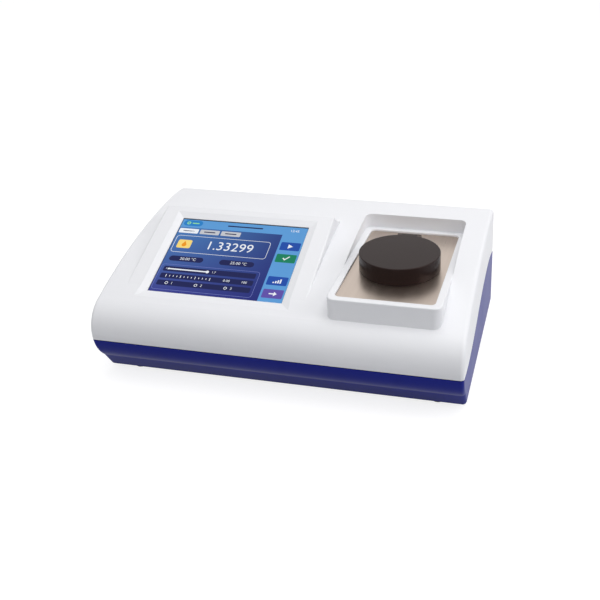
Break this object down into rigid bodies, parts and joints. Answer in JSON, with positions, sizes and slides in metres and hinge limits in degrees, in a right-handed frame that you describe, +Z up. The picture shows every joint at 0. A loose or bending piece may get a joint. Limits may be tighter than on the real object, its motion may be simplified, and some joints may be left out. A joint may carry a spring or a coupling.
{
  "type": "benchtop refractometer",
  "caption": "Automatic benchtop refractometer with a tilted touch screen, a steel sample stage with a lidded prism well, and a white over blue housing.",
  "frame": {"origin": "on the bench, under the middle of the housing", "axes": "+X towards the sample stage on the user's right, -Y towards the user, +Z up"},
  "size_m": [0.375, 0.2426, 0.1356],
  "materials": {
    "shell_white": "satin white",
    "shell_blue": "satin deep blue",
    "black_rubber": "matte",
    "screen_glass": "smooth, lit display behind it",
    "lcd_metal": "satin",
    "polished_steel": "polished, finely brushed",
    "zinc_screws": "bright zinc",
    "brass": "turned",
    "black_gloss": "glossy side, satin top",
    "white_liner": "matte",
    "hinge_steel": "dark satin",
    "optical_glass": "polished",
    "black_aluminium": "black anodised",
    "bare_aluminium": "bead blasted",
    "probe_steel": "bright",
    "circuit_green": "solder mask",
    "chip_black": "moulded",
    "ceramic_white": "ceramic",
    "ribbon_amber": "satin film",
    "transformer_core": "varnished laminations",
    "capacitor_sleeve": "shrunk sleeve",
    "black_plastic": "matte",
    "port_metal": "tinned",
    "fuse_glass": "clear"
  },
  "bodies": {
    "instrument": {"top_cover": "shell_white", "cover_inserts": "brass", "base_cover": "shell_blue", "cover_screws": "zinc_screws", "feet": "black_rubber", "foot_screws": "zinc_screws", "display_gasket": "black_rubber", "touch_panel": "screen_glass", "lcd_module": "lcd_metal", "display_frame": "lcd_metal", "display_screws": "zinc_screws", "display_ribbon": "ribbon_amber", "plate_gasket": "black_rubber", "stage_plate": "polished_steel", "sample_dish": "polished_steel", "prism_seal": "black_rubber", "prism": "optical_glass", "optics_block": "black_aluminium", "temperature_probe": "probe_steel", "lenses": "optical_glass", "led_barrel": "black_aluminium", "led_board": "circuit_green", "lens_barrel": "black_aluminium", "sensor_board": "circuit_green", "line_sensor": "chip_black", "optics_stand": "bare_aluminium", "peltier": "ceramic_white", "heat_sink": "bare_aluminium", "heat_sink_screws": "zinc_screws", "hinge_bracket": "hinge_steel", "hinge_pin": "zinc_screws", "hinge_screws": "zinc_screws", "hinge_nuts": "zinc_screws", "board_standoffs": "zinc_screws", "board_screws": "zinc_screws", "main_board": "circuit_green", "processor": "chip_black", "processor_cooler": "bare_aluminium", "board_connectors": "chip_black", "supply_board": "circuit_green", "transformer": "transformer_core", "capacitors": "capacitor_sleeve", "cooling_plate": "bare_aluminium", "rear_panel": "bare_aluminium", "panel_screws": "zinc_screws", "inlet_body": "black_plastic", "inlet_pins": "brass", "switch_housing": "black_plastic", "serial_port": "port_metal", "network_port": "port_metal", "usb_ports": "port_metal", "fan_frame": "black_plastic", "fan_screws": "zinc_screws"},
    "lid": {"lid_cap": "black_gloss", "lid_liner": "white_liner", "lid_seal": "black_rubber"},
    "power_rocker": {"switch_rocker": "black_plastic"},
    "drawer": {"fuse_drawer": "black_plastic", "fuses": "fuse_glass"},
    "rotor": {"fan_rotor": "black_plastic"}
  },
  "joints": [
    {"name": "lid_hinge", "type": "hinge", "parent": "instrument", "child": "lid", "pos_m": [0.1073, 0.033, 0.1148], "axis": [-1, 0, 0], "range_deg": [0, 100]},
    {"name": "rocker_pivot", "type": "hinge", "parent": "instrument", "child": "power_rocker", "pos_m": [-0.088, 0.1155, 0.036], "axis": [-1, 0, 0], "range_deg": [0, 16]},
    {"name": "drawer_slide", "type": "slide", "parent": "instrument", "child": "drawer", "axis": [0, 1, 0], "range_m": [0, 0.02]},
    {"name": "rotor_spin", "type": "hinge", "parent": "instrument", "child": "rotor", "pos_m": [0.1073, 0.11, 0.036], "axis": [0, 1, 0], "continuous": true}
  ]
}
